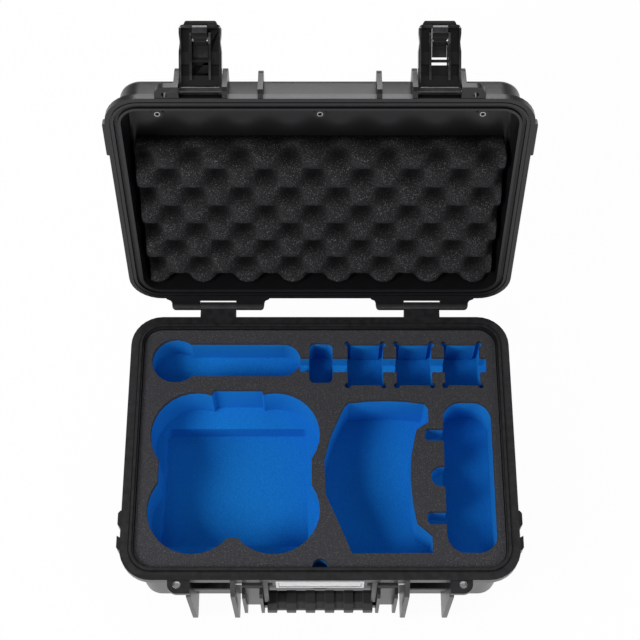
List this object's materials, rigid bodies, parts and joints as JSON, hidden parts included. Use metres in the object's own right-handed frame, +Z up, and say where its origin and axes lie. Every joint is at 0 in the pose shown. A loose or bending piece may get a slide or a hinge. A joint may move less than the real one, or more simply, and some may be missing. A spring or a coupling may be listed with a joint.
{
  "type": "hard carrying case",
  "caption": "Hard plastic equipment case with an open hinged lid, draw latches, a folding front handle, cut foam pockets and convoluted lid foam.",
  "frame": {"origin": "centre of the flat underside of the base", "axes": "+X to the right seen from the handle side, +Y towards the hinges, +Z up"},
  "size_m": [0.428, 0.472, 0.4708],
  "materials": {
    "black_plastic": "satin moulded, fine grain",
    "grip_rubber": "matte overmould",
    "gasket_rubber": "smooth matte",
    "steel": "satin",
    "plate_metal": "brushed",
    "grey_foam": "closed-cell foam sheet, fine sparkle",
    "blue_foam": "closed-cell foam",
    "charcoal_foam": "open-cell convoluted foam"
  },
  "bodies": {
    "base": {"base_shell": "black_plastic", "base_foam": "blue_foam", "base_foam_sheet": "grey_foam", "nameplate_frame": "plate_metal", "nameplate": "plate_metal", "valve_housing": "black_plastic", "valve_cap": "black_plastic", "ear_bush_left": "steel", "ear_bush_right": "steel", "hinge_pin_left": "steel", "hinge_pin_right": "steel", "handle_pin_left": "steel", "handle_pin_right": "steel"},
    "lid": {"lid_shell": "black_plastic", "lid_gasket": "gasket_rubber", "lid_foam": "charcoal_foam", "lid_insert_left": "steel", "lid_insert_middle": "steel", "lid_insert_right": "steel", "latch_rod_left": "steel", "latch_rod_right": "steel"},
    "handle": {"handle_frame": "black_plastic", "handle_grip": "grip_rubber"},
    "latch_left": {"latch_body_left": "black_plastic", "latch_pin_left": "steel", "latch_spring_left": "steel"},
    "rocker_left": {"latch_rocker_left": "black_plastic"},
    "latch_right": {"latch_body_right": "black_plastic", "latch_pin_right": "steel", "latch_spring_right": "steel"},
    "rocker_right": {"latch_rocker_right": "black_plastic"}
  },
  "joints": [
    {"name": "lid_hinge", "type": "hinge", "parent": "base", "child": "lid", "pos_m": [0, 0.1634, 0.1282], "axis": [1, 0, 0], "range_deg": [0, 104]},
    {"name": "latch_left_swing", "type": "hinge", "parent": "lid", "child": "latch_left", "pos_m": [-0.1143, 0.24778, 0.43479], "axis": [1, 0, 0], "range_deg": [0, 135]},
    {"name": "latch_left_release", "type": "hinge", "parent": "latch_left", "child": "rocker_left", "pos_m": [-0.1143, 0.28909, 0.45729], "axis": [-1, 0, 0], "range_deg": [0, 28], "stiffness_Nm_per_rad": 0.05, "springref_deg": -11.46},
    {"name": "latch_right_swing", "type": "hinge", "parent": "lid", "child": "latch_right", "pos_m": [0.1143, 0.24778, 0.43479], "axis": [1, 0, 0], "range_deg": [0, 135]},
    {"name": "latch_right_release", "type": "hinge", "parent": "latch_right", "child": "rocker_right", "pos_m": [0.1143, 0.28909, 0.45729], "axis": [-1, 0, 0], "range_deg": [0, 28], "stiffness_Nm_per_rad": 0.05, "springref_deg": -11.46},
    {"name": "handle_swing", "type": "hinge", "parent": "base", "child": "handle", "pos_m": [0, -0.147, 0.104], "axis": [-1, 0, 0], "range_deg": [0, 86]}
  ]
}
